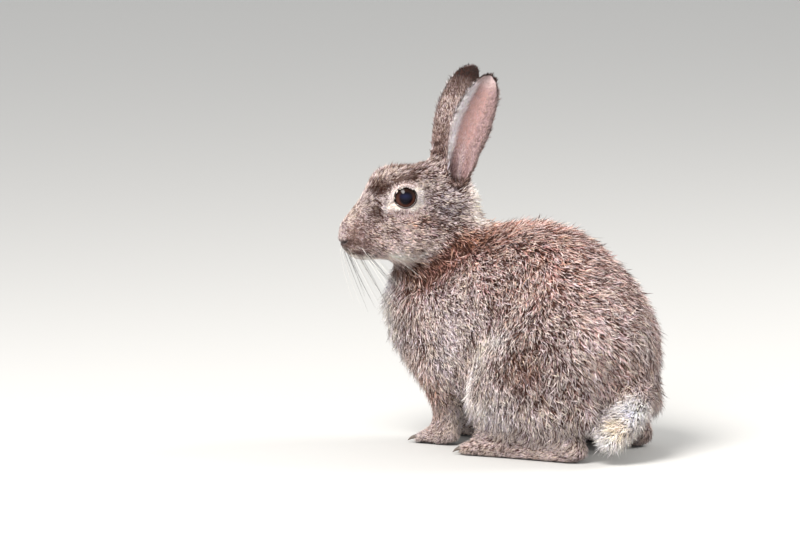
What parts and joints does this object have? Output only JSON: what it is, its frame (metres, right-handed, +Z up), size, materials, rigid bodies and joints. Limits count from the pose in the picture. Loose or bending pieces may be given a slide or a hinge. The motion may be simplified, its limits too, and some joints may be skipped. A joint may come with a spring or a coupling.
{
  "type": "rabbit",
  "caption": "Life-size wild rabbit sitting up alert on all its feet, ears raised, head turned to its left, as a still museum model.",
  "frame": {"origin": "on the floor, under the middle of the whole animal's box", "axes": "+Z up, the animal's body faces -Y and its left side is +X; the head is turned about 45 degrees to its left"},
  "size_m": [0.1294, 0.211, 0.2421],
  "materials": {
    "coat_body": "dense agouti fur, matt",
    "coat_face": "dense agouti fur, matt",
    "coat_leg": "dense agouti fur, matt",
    "coat_tail": "dense agouti fur, matt",
    "coat_ear": "dense agouti fur, matt",
    "eye": "wet gloss, dark brown iris round a black pupil",
    "claw": "smooth dark horn, slightly worn",
    "whisker": "fine stiff hair, dark or pale",
    "nose": "fine soft skin, almost bare"
  },
  "bodies": {
    "root": {"trunk": "coat_body", "neck": "coat_body", "tail": "coat_tail", "head": "coat_face", "left_haunch": "coat_body", "left_hind_foot": "coat_leg", "left_foreleg": "coat_leg", "left_forepaw": "coat_leg", "left_ear": "coat_ear", "left_eye": "eye", "right_haunch": "coat_body", "right_hind_foot": "coat_leg", "right_foreleg": "coat_leg", "right_forepaw": "coat_leg", "right_ear": "coat_ear", "right_eye": "eye"}
  },
  "joints": []
}
